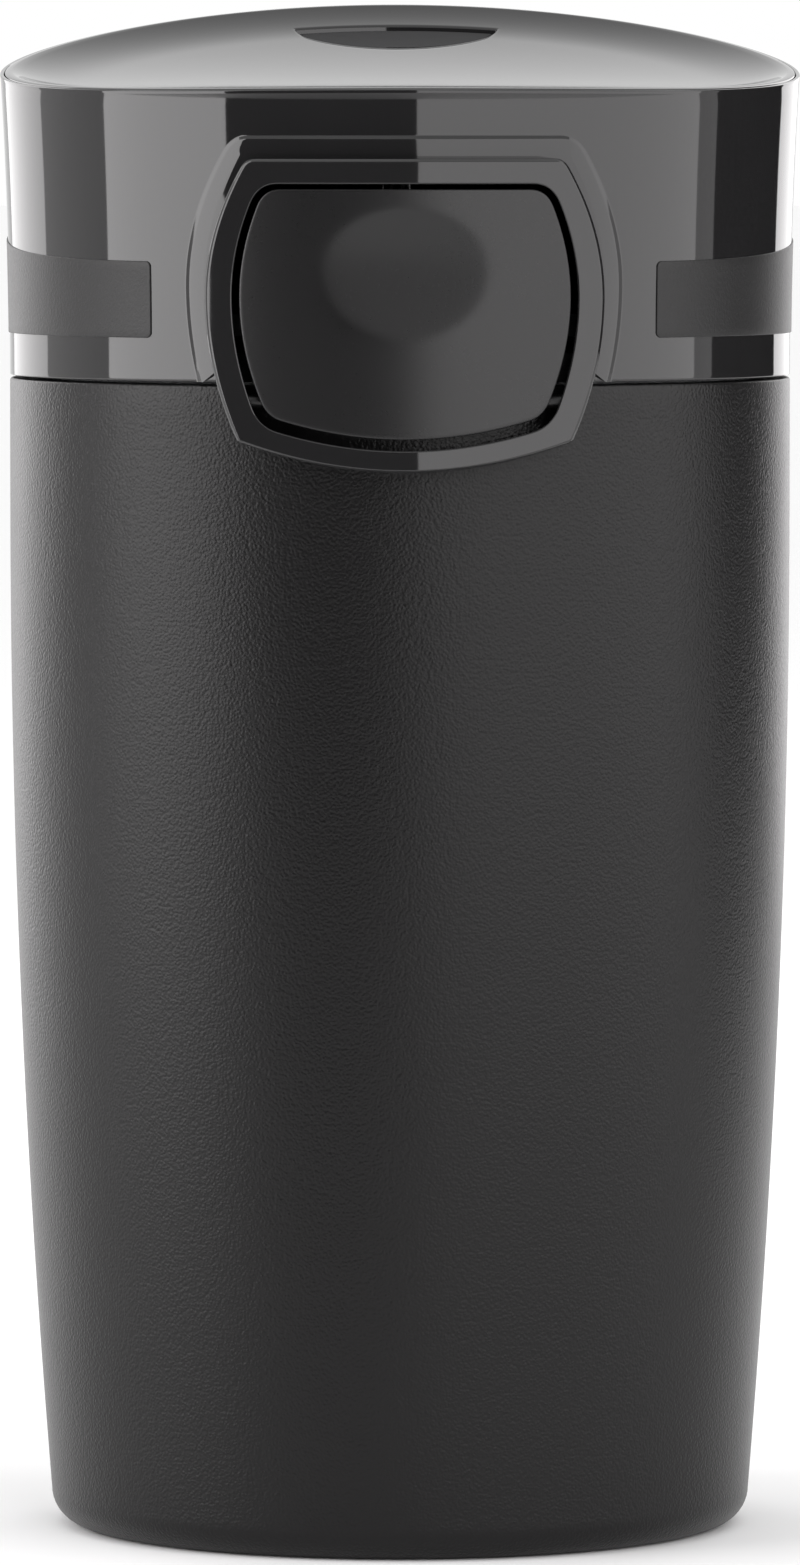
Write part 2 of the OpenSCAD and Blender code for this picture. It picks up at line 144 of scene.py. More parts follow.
class FinishSettings(bpy.types.PropertyGroup):
    coat: tint("Powder coat", "Coated steel of the body", (0.0042, 0.0039, 0.0041))
    gloss: tint("Gloss black", "Gloss plastic of the lid", (0.0125, 0.0123, 0.0127))
    satin: tint("Satin black", "Button", (0.0070, 0.0068, 0.0071))
    grip: tint("Grip band", "Matte band of the lid", (0.0080, 0.0077, 0.0079))
    steel: tint("Bare steel", "Liner and base", (0.56, 0.55, 0.54))
    moulded: tint("Dark plastic", "Inner mouldings of the lid", (0.045, 0.045, 0.047))
    natural: tint("Natural plastic", "Slider and stem", (0.68, 0.66, 0.60))
    silicone: tint("Grey silicone", "Seals", (0.30, 0.30, 0.31))
    plug: tint("Dark silicone", "Valve plugs", (0.036, 0.036, 0.037))


class StudioSettings(bpy.types.PropertyGroup):
    distance: length("Camera distance", "Distance of the camera in front of the axis", 1.070)
    height: length("Camera height", "Height of the camera", 133.4 * MM)
    aim: length("Aim height", "Height on the axis that the camera looks at", 69.7 * MM)
    turn: FloatProperty(name="Camera turn", description="Angle of the camera off the front, in degrees",
                        default=-0.7)
    lens: amount("Lens", "Focal length in millimetres", 262.0, 1000.0)
    cards: length("Card distance", "Radius of the ring of reflecting cards", 0.90)
    world: amount("Backdrop light", "Brightness of the surroundings", 1.0, 10.0)


SETTINGS = {"tumbler_vessel": VesselSettings, "tumbler_lid": LidSettings, "tumbler_button": ButtonSettings,
            "tumbler_finish": FinishSettings, "tumbler_studio": StudioSettings}


# ---- shader maths ----

class Wire:
    """A socket's output that takes part in Python arithmetic: each operator adds a Math node."""

    def __init__(self, finish, socket):
        self.finish = finish
        self.socket = socket

    def maths(self, operation, *values):
        node = self.finish.node("ShaderNodeMath", {"operation": operation}, *values)
        return node.wire("Value")

    def __add__(self, other):
        return self.maths("ADD", self, other)

    def __radd__(self, other):
        return self.maths("ADD", other, self)

    def __sub__(self, other):
        return self.maths("SUBTRACT", self, other)

    def __rsub__(self, other):
        return self.maths("SUBTRACT", other, self)

    def __mul__(self, other):
        return self.maths("MULTIPLY", self, other)

    def __rmul__(self, other):
        return self.maths("MULTIPLY", other, self)


class Placed:
    """A node in a finish, whose outputs are wires."""

    def __init__(self, finish, node):
        self.finish = finish
        self.node = node

    def wire(self, name):
        return Wire(self.finish, self.node.outputs[name])


class Finish:
    """One procedural material."""

    def __init__(self, name, **constants):
        self.material = bpy.data.materials.new(name)
        self.material.use_nodes = True
        self.tree = self.material.node_tree
        self.shader = self.tree.nodes["Principled BSDF"]
        for socket, value in constants.items():
            self.shader.inputs[socket.replace("_", " ")].default_value = value

    def node(self, kind, settings=None, *values, **named):
        """Adds a node: its settings first, then the values or wires of its sockets."""
        node = self.tree.nodes.new(kind)
        for key, value in (settings or {}).items():
            setattr(node, key, value)
        spaced = [(key.replace("_", " "), value) for key, value in named.items()]
        for socket, value in list(enumerate(values)) + spaced:
            self.join(node.inputs[socket], value)
        return Placed(self, node)

    def join(self, socket, value):
        if isinstance(value, Wire):
            self.tree.links.new(value.socket, socket)
        else:
            socket.default_value = value

    def feed(self, socket, value):
        self.join(self.shader.inputs[socket], value)

    def paint(self, factor, colour, low, high):
        """Base colour that wanders between two shares of the given one."""
        self.feed("Base Color", self.blend_colours(factor, shade(colour, low), shade(colour, high)))

    def place(self, scale=(1.0, 1.0, 1.0)):
        coordinates = self.node("ShaderNodeTexCoord").wire("Object")
        return self.node("ShaderNodeMapping", None, Vector=coordinates, Scale=scale).wire("Vector")

    def noise(self, where, size, detail=2.0, roughness=0.5):
        """Noise whose patches are about size metres across."""
        settings = {"noise_dimensions": "3D"}
        return self.node("ShaderNodeTexNoise", settings, Vector=where, Scale=1.0 / size, Detail=detail,
                         Roughness=roughness).wire("Fac")

    def cells(self, where, size):
        return self.node("ShaderNodeTexVoronoi", {"feature": "SMOOTH_F1"}, Vector=where,
                         Scale=1.0 / size, Smoothness=0.6).wire("Distance")

    def blend_colours(self, factor, low, high):
        mix = self.node("ShaderNodeMix", {"data_type": "RGBA"})
        self.join(mix.node.inputs["Factor"], factor)
        self.join(mix.node.inputs[6], (*low, 1.0))
        self.join(mix.node.inputs[7], (*high, 1.0))
        return Wire(self, mix.node.outputs[2])

    def bump(self, height, distance):
        normal = self.node("ShaderNodeBump", None, Height=height, Distance=distance)
        self.feed("Normal", normal.wire("Normal"))


def shade(colour, factor):
    return tuple(min(1.0, c * factor) for c in colour)


# ---- finishes ----

def powder_coat(colours):
    """Semi-gloss powder coat with a fine leathery grain."""
    finish = Finish("powder_coat", IOR=1.325)
    where = finish.place()
    grain = finish.noise(where, 0.20 * MM, 1.4, 0.45)
    bumps = finish.cells(where, 0.29 * MM)
    slow = finish.noise(where, 14 * MM)
    finish.paint(grain, colours.coat, 0.86, 1.14)
    finish.feed("Roughness", 0.27 + 0.08 * grain + 0.04 * slow)
    finish.bump(0.5 * grain - 0.8 * bumps, 0.042 * MM)
    return finish.material


def gloss_plastic(colours):
    """Polished black plastic, with the faint waviness of a moulding."""
    finish = Finish("gloss_plastic", IOR=1.5)
    where = finish.place()
    haze = finish.noise(where, 9 * MM, 3.0)
    dust = finish.noise(where, 0.6 * MM, 1.0)
    finish.paint(haze, colours.gloss, 0.92, 1.08)
    finish.feed("Roughness", 0.035 + 0.03 * haze * dust)
    finish.bump(finish.noise(where, 6 * MM, 0.0), 0.002 * MM)
    return finish.material


def satin_plastic(colours):
    """Fine satin of the thumb button."""
    finish = Finish("satin_plastic", IOR=1.44)
    where = finish.place()
    grain = finish.noise(where, 0.16 * MM, 1.0)
    slow = finish.noise(where, 7 * MM)
    finish.paint(slow, colours.satin, 0.94, 1.06)
    finish.feed("Roughness", 0.25 + 0.05 * grain + 0.02 * slow)
    finish.bump(grain, 0.004 * MM)
    return finish.material


def grip_finish(colours):
    """Matte spark-eroded texture of the band."""
    finish = Finish("grip_finish", IOR=1.38)
    where = finish.place()
    grain = finish.noise(where, 0.28 * MM, 2.0, 0.6)
    finish.paint(grain, colours.grip, 0.85, 1.15)
    finish.feed("Roughness", 0.36 + 0.12 * grain)
    finish.bump(grain, 0.03 * MM)
    return finish.material


def brushed_steel(colours):
    """Steel with fine lines round the axis."""
    finish = Finish("brushed_steel", Metallic=1.0)
    lines = finish.noise(finish.place((0.02, 0.02, 1.0)), 0.25 * MM, 3.0, 0.6)
    stain = finish.noise(finish.place(), 16 * MM, 3.0)
    finish.paint(stain, colours.steel, 0.9, 1.06)
    finish.feed("Roughness", 0.24 + 0.16 * lines)
    finish.bump(lines, 0.004 * MM)
    return finish.material


def drawn_wire(colours):
    finish = Finish("drawn_wire", Metallic=1.0)
    marks = finish.noise(finish.place(), 0.3 * MM, 3.0)
    finish.paint(marks, colours.steel, 0.92, 1.1)
    finish.feed("Roughness", 0.22 + 0.14 * marks)
    finish.bump(marks, 0.003 * MM)
    return finish.material


def moulded_plastic(name, colour):
    """Lightly textured moulding."""
    finish = Finish(name, IOR=1.49)
    where = finish.place()
    grain = finish.noise(where, 0.22 * MM, 2.0)
    flow = finish.noise(where, 11 * MM, 2.0)
    finish.paint(flow, colour, 0.92, 1.08)
    finish.feed("Roughness", 0.40 + 0.12 * grain)
    finish.bump(grain, 0.008 * MM)
    return finish.material


def silicone_rubber(name, colour):
    """Soft matte silicone with a dusty bloom."""
    finish = Finish(name, IOR=1.42, Specular_IOR_Level=0.08)
    where = finish.place()
    bloom = finish.noise(where, 4 * MM, 4.0, 0.6)
    grain = finish.noise(where, 0.3 * MM, 1.0)
    finish.paint(bloom, colour, 0.9, 1.1)
    finish.feed("Roughness", 0.68 + 0.12 * bloom)
    finish.bump(grain, 0.006 * MM)
    return finish.material


FINISH_OF_SLOT = {}


def make_finishes(colours):
    FINISH_OF_SLOT.update({
        "coated_steel": powder_coat(colours),
        "gloss_black": gloss_plastic(colours),
        "satin_black": satin_plastic(colours),
        "grip_finish": grip_finish(colours),
        "bare_steel": brushed_steel(colours),
        "getter_alloy": moulded_plastic("getter_alloy", shade(colours.steel, 0.7)),
        "spring_steel": drawn_wire(colours),
        "dark_plastic": moulded_plastic("dark_plastic", colours.moulded),
        "natural_plastic": moulded_plastic("natural_plastic", colours.natural),
        "silicone": silicone_rubber("silicone", colours.silicone),
        "dark_silicone": silicone_rubber("dark_silicone", colours.plug),
    })


# ---- building pieces ----

def make_piece(name, mesh_builder, body, slot, node, sharp=32.0):
    """Turns a finished bmesh into a piece that rides on its body and stands for its CAD node."""
    bmesh.ops.remove_doubles(mesh_builder, verts=mesh_builder.verts, dist=MERGE)
    bmesh.ops.dissolve_degenerate(mesh_builder, edges=mesh_builder.edges, dist=MERGE)
    bmesh.ops.recalc_face_normals(mesh_builder, faces=mesh_builder.faces)
    mesh = bpy.data.meshes.new(name)
    mesh_builder.to_mesh(mesh)
    mesh_builder.free()
    for polygon in mesh.polygons:
        polygon.use_smooth = True
    mesh.set_sharp_from_angle(angle=math.radians(sharp))
    mesh.materials.append(FINISH_OF_SLOT[slot])
    piece = bpy.data.objects.new(name, mesh)
    bpy.context.scene.collection.objects.link(piece)
    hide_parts(node)
    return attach(piece, body)


def lay_skin(bm, rings):
    """Lays a grid over a row of closed rings, which all have the same count of points."""
    count, rows = len(rings[0]), len(rings) - 1
    made = bmesh.ops.create_grid(bm, x_segments=count, y_segments=rows, size=0.5)["verts"]
    for vertex in made:
        column = round((vertex.co.x + 0.5) * count) % count
        vertex.co = rings[round((vertex.co.y + 0.5) * rows)][column]
    bmesh.ops.remove_doubles(bm, verts=made, dist=MERGE)


def turn_profile(bm, profile, steps=COLUMNS // 2):
    """Spins a closed outline of (radius, height) points round the axis."""
    corners = [bm.verts.new((r, 0.0, z)) for r, z in profile]
    edges = [bm.edges.new((a, b)) for a, b in zip(corners, corners[1:] + corners[:1])]
    bmesh.ops.spin(bm, geom=corners + edges, cent=(0, 0, 0), axis=(0, 0, 1), angle=math.tau,
                   steps=steps, use_merge=True, use_duplicate=False)
    bmesh.ops.remove_doubles(bm, verts=bm.verts, dist=MERGE)


def arc(centre_r, centre_z, radius, start, end, count=8):
    """Points of an arc in an (r, z) section, with its angles in degrees."""
    angles = [math.radians(start + (end - start) * i / count) for i in range(count + 1)]
    return [(centre_r + radius * math.cos(a), centre_z + radius * math.sin(a)) for a in angles]


def steps_between(low, high, count):
    return [low + (high - low) * i / count for i in range(count + 1)]


def mix(a, b, share):
    return a + (b - a) * share


def around(radius, angle, z):
    """Point at an angle from the front, in radians."""
    return Vector((radius * math.sin(angle), -radius * math.cos(angle), z))


def full_turn(count=COLUMNS):
    return [math.tau * i / count for i in range(count)]


# ---- the vessel's and lid's shapes ----

def body_radius(vessel, z):
    below = max(vessel.straight - z, 0.0)
    return vessel.radius - below * below / (2 * vessel.side_arc)


def collar_radius(vessel, lid, z):
    """The collar's flare: a parabola up to the height of the rim's sides, then easing to upright."""
    reach, side, ease = 27.6 * MM, 136.6 * MM, 6 * MM
    flared = min(max(z - lid.low, 0.0), side - lid.low)
    radius = vessel.radius + lid.flare * (flared / reach) ** 2
    over = min(max(z - side, 0.0), ease)
    slope = 2 * lid.flare * (side - lid.low) / reach ** 2
    return radius + slope * over * (1 - over / (2 * ease))


def rim_height(lid, y, drop=0.0):
    """Height of the rim's saddle curve at a depth y, lowered by drop along its arc."""
    across = y + lid.rim_front
    return lid.rim + lid.rim_arc - math.sqrt((lid.rim_arc + drop) ** 2 - across * across)


def rim_radius(vessel, lid, angle):
    guess = rim_height(lid, -vessel.radius * math.cos(angle))
    return collar_radius(vessel, lid, guess)


# ---- the button group's outlines ----

Outline = namedtuple("Outline", "widest widest_z upper_arc lower_arc top bottom bottom_arc "
                                "top_corner low_corner")


def outline_mm(*values):
    return Outline(*(value * MM for value in values))


PAD = outline_mm(20.0, 117, 21.7, 35.6, 130.7, 104.0, 400, 1.6, 0.5)
BEZEL = outline_mm(18.15, 116, 21.0, 29.5, 128.5, 100.1, 42.1, 0.8, 0.35)
WINDOW = outline_mm(15.7, 116, 21.0, 27.4, 126.2, 102.1, 39.6, 1.6, 1.6)
BUTTON = outline_mm(15.05, 116, 21.0, 23.0, 125.75, 103.1, 38.0, 1.5, 1.3)


def outline_loop(shape, inset=0.0):
    """The outline moved inwards by inset, as (x, z) points. Every outline has the same count."""
    top, low = shape.top - inset, shape.bottom + inset

    def half_width(z):
        curve = shape.upper_arc if z > shape.widest_z else shape.lower_arc
        return shape.widest - inset - (z - shape.widest_z) ** 2 / (2 * curve)

    def low_edge(x):
        return low + x * x / (2 * shape.bottom_arc)

    def bend(a, corner, b, count=8):
        """Rounds a corner from a to b, both left out."""
        for i in range(1, count):
            t = i / count
            yield tuple((1 - t) ** 2 * p + 2 * t * (1 - t) * q + t * t * r for p, q, r in zip(a, corner, b))

    corner_z = low_edge(half_width(low_edge(half_width(low))))
    corner_x = half_width(corner_z)
    top_x = half_width(top)
    soft_low = max(shape.low_corner - inset, 0.05 * MM)
    soft_top = max(shape.top_corner - inset, 0.05 * MM)
    right = [(x, low_edge(x)) for x in steps_between(0.0, corner_x - soft_low, 24)]
    sides = [(half_width(z), z) for z in steps_between(corner_z + soft_low, top - soft_top, 40)]
    right += list(bend(right[-1], (corner_x, corner_z), sides[0])) + sides
    top_edge = [(x, top) for x in steps_between(top_x - soft_top, 0.0, 20)]
    right += list(bend(sides[-1], (top_x, top), top_edge[0])) + top_edge
    left = [(-x, z) for x, z in reversed(right[1:-1])]
    return right + left


def on_cylinder(loop, radius):
    """Sets an outline on a cylinder round the axis, at the front."""
    return [Vector((x, -math.sqrt(radius * radius - x * x), z)) for x, z in loop]


def round_edge(radius, count=4):
    """(inset, drop) pairs of a rounded edge, from the side wall to the face."""
    for i in range(count + 1):
        a = math.pi / 2 * i / count
        yield radius * (1 - math.cos(a)), radius * (1 - math.sin(a))


# ---- operators ----

class TUMBLER_OT_finishes(bpy.types.Operator):
    """Makes the finishes and gives every CAD node the one of its slot"""

    bl_idname = "tumbler.finishes"
    bl_label = "Finishes"

    def execute(self, context):
        make_finishes(context.scene.tumbler_finish)
        for row in frame["record"]["subparts"]:
            node = frame["nodes"][row["node"]]
            node.data.materials.clear()
            node.data.materials.append(FINISH_OF_SLOT[row["material_slot"]])
        return {"FINISHED"}


class TUMBLER_OT_outer_shell(bpy.types.Operator):
    """Turns the coated outer wall with its rolled foot and shoulder"""

    bl_idname = "tumbler.outer_shell"
    bl_label = "Outer shell"

    def execute(self, context):
        vessel = context.scene.tumbler_vessel
        foot = vessel.foot
        corner_r = body_radius(vessel, foot) - foot
        edge = 0.3 * MM
        recess_r, floor_z = 28.2 * MM, 2.4 * MM
        lip_r = 33.0 * MM
        wall = vessel.wall
        outer = [(body_radius(vessel, z), z)
                 for z in steps_between(foot + 2 * MM, vessel.height - edge, 48)]
        inner = [(r - wall, min(z, vessel.height - wall)) for r, z in reversed(outer)]
        profile = (
            [(0.0, floor_z), (recess_r, floor_z), (recess_r, 0.12 * MM), (recess_r + 0.12 * MM, 0.0)]
            + arc(corner_r, foot, foot, -90, 0, 12) + outer
            + arc(vessel.radius - edge, vessel.height - edge, edge, 0, 90)[1:]
            + [(lip_r, vessel.height), (lip_r, vessel.height - wall)] + inner
            + arc(corner_r, foot, foot - wall, 0, -72, 8)
            + [(corner_r - 2 * MM, floor_z + wall), (0.0, floor_z + wall)]
        )
        bm = bmesh.new()
        turn_profile(bm, profile, 240)
        make_piece("outer_shell_coated", bm, "vessel", "coated_steel", "outer_shell")
        return {"FINISHED"}


class TUMBLER_OT_lid_collar(bpy.types.Operator):
    """Makes the gloss collar, whose top follows the rim's saddle curve"""

    bl_idname = "tumbler.lid_collar"
    bl_label = "Lid collar"

    def execute(self, context):
        scene = context.scene
        vessel, lid, button = scene.tumbler_vessel, scene.tumbler_lid, scene.tumbler_button
        inner_r = 34.35 * MM
        lip, lip_drop, seat_drop = 0.4 * MM, 0.22 * MM, 3.25 * MM
        soft = 0.12 * MM
        waist = 124 * MM
        angles = full_turn()

        def outer_row(height_of):
            row = []
            for a in angles:
                z = height_of(-vessel.radius * math.cos(a))
                row.append(around(collar_radius(vessel, lid, z), a, z))
            return row

        def level_row(radius, z):
            return [around(radius, a, z) for a in angles]

        def top_row(inset, drop):
            return [around(rim_radius(vessel, lid, a) - inset, a,
                           rim_height(lid, -rim_radius(vessel, lid, a) * math.cos(a), lip_drop + drop))
                    for a in angles]

        rings = [level_row(inner_r, lid.low), level_row(vessel.radius - soft, lid.low)]
        rings += [level_row(vessel.radius - inset, lid.low + drop) for inset, drop in
                  reversed(list(round_edge(soft))[:-1])]
        rings += [outer_row(lambda y, z=z: z) for z in steps_between(lid.low + 0.4 * MM, waist, 20)]
        rings += [outer_row(lambda y, s=s: mix(waist, rim_height(lid, y, lip_drop + soft), s))
                  for s in steps_between(0.1, 0.98, 9)]
        rings += [top_row(inset, drop) for inset, drop in round_edge(soft)]
        rings += [top_row(lip - 0.06 * MM, 0.0), top_row(lip, 0.06 * MM),
                  top_row(lip, seat_drop - lip_drop)]
        rings += [[around(inner_r, a, rim_height(lid, -inner_r * math.cos(a), seat_drop)) for a in angles]]
        rings += [[around(inner_r, a, mix(lid.low, rim_height(lid, -inner_r * math.cos(a), seat_drop), s))
                   for a in angles] for s in (0.7, 0.35, 0.0)]
        bm = bmesh.new()
        lay_skin(bm, rings)
        collar = make_piece("lid_collar_gloss", bm, "lid", "gloss_black", "lid_collar")
        cut_window(collar, lid)
        make_pad(vessel, lid, button)
        return {"FINISHED"}


def cut_window(collar, lid):
    """Cuts the window behind the button through the collar's wall."""
    sill, middle = lid.low + 1.5 * MM, 118 * MM
    loop = [(x, max(z, sill)) for x, z in outline_loop(WINDOW)]
    front, back = -45 * MM, -22 * MM
    rings = [[Vector((0.0, y, middle))] * len(loop) if end else [Vector((x, y, z)) for x, z in loop]
             for y, end in ((front, True), (front, False), (back, False), (back, True))]
    bm = bmesh.new()
    lay_skin(bm, rings)
    bmesh.ops.dissolve_degenerate(bm, edges=bm.edges, dist=MERGE)
    bmesh.ops.recalc_face_normals(bm, faces=bm.faces)
    mesh = bpy.data.meshes.new("window_cutter")
    bm.to_mesh(mesh)
    bm.free()
    cutter = bpy.data.objects.new("window_cutter", mesh)
    bpy.context.scene.collection.objects.link(cutter)
    modifier = collar.modifiers.new("window", "BOOLEAN")
    modifier.object, modifier.operation, modifier.solver = cutter, "DIFFERENCE", "EXACT"
    shown = collar.evaluated_get(bpy.context.evaluated_depsgraph_get())
    cut = bpy.data.meshes.new_from_object(shown)
    collar.modifiers.clear()
    collar.data = cut
    cut.set_sharp_from_angle(angle=math.radians(32))
    bpy.data.objects.remove(cutter)


def make_pad(vessel, lid, button):
    """Makes the raised pad round the bezel: a soft foot, a sloped band and a narrow flat."""
    sunk, top = -0.06 * MM, button.pad
    # (inset from the pad's outline, rise over the collar)
    steps = [(0.0, sunk), (0.0, 0.0), (0.06 * MM, 0.01 * MM), (0.13 * MM, 0.08 * top),
             (0.40 * MM, 0.38 * top), (0.49 * MM, 0.45 * top), (0.58 * MM, 0.50 * top),
             (1.50 * MM, 0.90 * top), (1.60 * MM, 0.93 * top), (1.72 * MM, top), (1.90 * MM, top),
             (3.2 * MM, top), (3.2 * MM, sunk)]
    rings = []
    for inset, rise in steps + steps[:1]:
        ring = []
        for x, z in outline_loop(PAD, inset):
            radius = collar_radius(vessel, lid, z) + rise
            ring.append(Vector((x, -math.sqrt(radius * radius - x * x), z)))
        rings.append(ring)
    bm = bmesh.new()
    lay_skin(bm, rings)
    # the right half is cut at the lid's lower edge and bevelled towards the bezel, then mirrored
    slant = Vector((-0.64, 0.0, -0.77))
    cuts = [(Vector((0, 0, 0)), Vector((-1, 0, 0))), (Vector((0, 0, lid.low)), Vector((0, 0, -1))),
            (Vector((18.35 * MM, 0, lid.low)), slant)]
    for point, outward in cuts:
        done = bmesh.ops.bisect_plane(bm, geom=bm.verts[:] + bm.edges[:] + bm.faces[:], dist=MERGE,
                                      plane_co=point, plane_no=outward, clear_outer=True)
        rim = [item for item in done["geom_cut"] if isinstance(item, bmesh.types.BMEdge)]
        if point.length > 0:
            bmesh.ops.holes_fill(bm, edges=rim, sides=0)
    bmesh.ops.mirror(bm, geom=bm.verts[:] + bm.edges[:] + bm.faces[:], matrix=Matrix.Identity(4),
                     merge_dist=MERGE * 10, axis="X")
    make_piece("lid_collar_pad", bm, "lid", "gloss_black", "lid_collar", 24.0)


class TUMBLER_OT_grip_band(bpy.types.Operator):
    """Makes the matte band that runs round the sides and back"""

    bl_idname = "tumbler.grip_band"
    bl_label = "Grip band"

    def execute(self, context):
        vessel, lid = context.scene.tumbler_vessel, context.scene.tumbler_lid
        start = math.radians(lid.band_gap)
        corner = 0.55 * MM
        corner_angle = corner / vessel.radius
        depth = 0.5 * MM

        def upper_edge(angle):
            y = -vessel.radius * math.cos(angle)
            across = y + lid.rim_front
            return lid.band_top + lid.band_arc - math.sqrt(lid.band_arc ** 2 - across * across)

        spans = steps_between(start + corner_angle, math.tau - start - corner_angle, 300)
        turns = [math.pi / 2 * i / 6 for i in range(1, 6)]
        # (angle, share of the height from -1 to 1, corner offset in height)
        rounded = [(corner_angle * math.sin(t), corner * (1 - math.cos(t))) for t in turns]
        loop = [(a, -1, 0.0) for a in spans]
        end = spans[-1]
        loop += [(end + turned, -1, risen) for turned, risen in rounded]
        loop += [(end + corner_angle, -1, corner), (end + corner_angle, 1, -corner)]
        loop += [(end + turned, 1, -risen) for turned, risen in reversed(rounded)]
        loop += [(a, 1, 0.0) for a in reversed(spans)]
        first = spans[0]
        loop += [(first - turned, 1, -risen) for turned, risen in rounded]
        loop += [(first - corner_angle, 1, -corner), (first - corner_angle, -1, corner)]
        loop += [(first - turned, -1, risen) for turned, risen in reversed(rounded)]

        def ring(inset, rise, share=1.0):
            points = []
            for a, side, shift in loop:
                low, high = lid.band_low, upper_edge(a)
                middle, half = (low + high) / 2, (high - low) / 2
                z = middle + share * (side * (half - inset) + shift)
                nearest = start + inset / vessel.radius
                angle = max(nearest, min(a, math.tau - nearest))
                points.append(around(collar_radius(vessel, lid, z) + rise, angle, z))
            return points

        soft = 0.09 * MM
        rings = [ring(0.0, -depth, share) for share in (0.0, 0.5, 1.0)]
        rings += [ring(0.0, lid.band_proud - soft)]
        rings += [ring(inset, lid.band_proud - drop) for inset, drop in list(round_edge(soft))[1:]]
        rings += [ring(soft, lid.band_proud, share) for share in (0.8, 0.6, 0.4, 0.2, 0.0)]
        bm = bmesh.new()
        lay_skin(bm, rings)
        make_piece("grip_band_matte", bm, "lid", "grip_finish", "grip_band")
        return {"FINISHED"}


LENS_MIDDLE = 28.3 * MM
LENS_ARC_Y = 33.62 * MM
OPENING_ARC, OPENING_REAR = 10.02 * MM, 32.6 * MM


def lens_reach(angle, front_arc, rear):
    """Distance from the lens's middle to its edge: two arcs, one round the axis and one in front."""
    across, along = math.sin(angle), math.cos(angle)

    def to_circle(centre_y, radius):
        offset = LENS_MIDDLE - centre_y
        return -offset * along + math.sqrt(radius * radius - (offset * across) ** 2)

    return min(to_circle(LENS_ARC_Y, front_arc), to_circle(0.0, rear))


def lens_loop(front_arc, rear, count=COLUMNS):
    points = []
    for angle in full_turn(count):
        reach = lens_reach(angle, front_arc, rear)
        points.append((reach * math.sin(angle), LENS_MIDDLE + reach * math.cos(angle)))
    return points


class TUMBLER_OT_top_cover(bpy.types.Operator):
    """Makes the dished gloss cover with the drinking opening and its duct"""

    bl_idname = "tumbler.top_cover"
    bl_label = "Top cover"

    def execute(self, context):
        vessel, lid = context.scene.tumbler_vessel, context.scene.tumbler_lid
        lip = 0.47 * MM
        hole = lens_loop(OPENING_ARC, OPENING_REAR)
        duct_in = lens_loop(11.2 * MM, 33.2 * MM)
        duct_out = lens_loop(12.3 * MM, 33.9 * MM)
        duct_low, under = 116.2 * MM, lid.dish + lid.cover

        def on_surface(loop, drop):
            return [Vector((x, y, rim_height(lid, y, drop))) for x, y in loop]

        def level(loop, z):
            return [Vector((x, y, z)) for x, y in loop]

        def grown(inset):
            return lens_loop(OPENING_ARC + inset, OPENING_REAR + inset)

        def rim_ring(inset):
            """Points of the cover's outline, each on the ray from the lens's middle."""
            points = []
            for angle in full_turn():
                across, along = math.sin(angle), math.cos(angle)
                reach = 35 * MM
                for _ in range(6):
                    x, y = reach * across, LENS_MIDDLE + reach * along
                    edge = rim_radius(vessel, lid, math.atan2(x, -y)) - lip - inset
                    reach = -LENS_MIDDLE * along + math.sqrt(edge * edge - (LENS_MIDDLE * across) ** 2)
                points.append((reach * across, LENS_MIDDLE + reach * along))
            return points

        def between(a, b, share):
            return [(mix(p[0], q[0], share), mix(p[1], q[1], share)) for p, q in zip(a, b)]

        wall, edge, edge_drop, soft = 8.5 * MM, 0.75 * MM, 0.24 * MM, 0.25 * MM

        def dished(loop, drop=0.0):
            """Sets a loop on the dish, whose wall rises softly to the rim."""
            points = []
            for x, y in loop:
                inset = rim_radius(vessel, lid, math.atan2(x, -y)) - lip - math.hypot(x, y)
                share = min(max((wall - inset) / (wall - edge), 0.0), 1.0)
                points.append(Vector((x, y, rim_height(lid, y, lid.dish * (1 - share ** 2.6) + drop))))
            return points

        rings = [level(duct_in, duct_low), on_surface(duct_in, under), on_surface(hole, under),
                 dished(hole, soft)]
        rings += [dished(grown(inset), drop) for inset, drop in list(round_edge(soft))[1:]]
        rings += [dished(between(grown(soft), rim_ring(edge), s)) for s in steps_between(0.03, 1.0, 40)]
        rings += [on_surface(rim_ring(edge * (1 - math.sin(a))), edge_drop * (1 - math.cos(a)))
                  for a in steps_between(math.radians(12), math.pi / 2, 8)]
        rings += [on_surface(rim_ring(0.0), drop) for drop in (0.4 * MM, under)]
        rings += [on_surface(duct_out, under), level(duct_out, duct_low), level(duct_in, duct_low)]
        bm = bmesh.new()
        lay_skin(bm, rings)
        make_piece("top_cover_gloss", bm, "lid", "gloss_black", "top_cover")
        return {"FINISHED"}


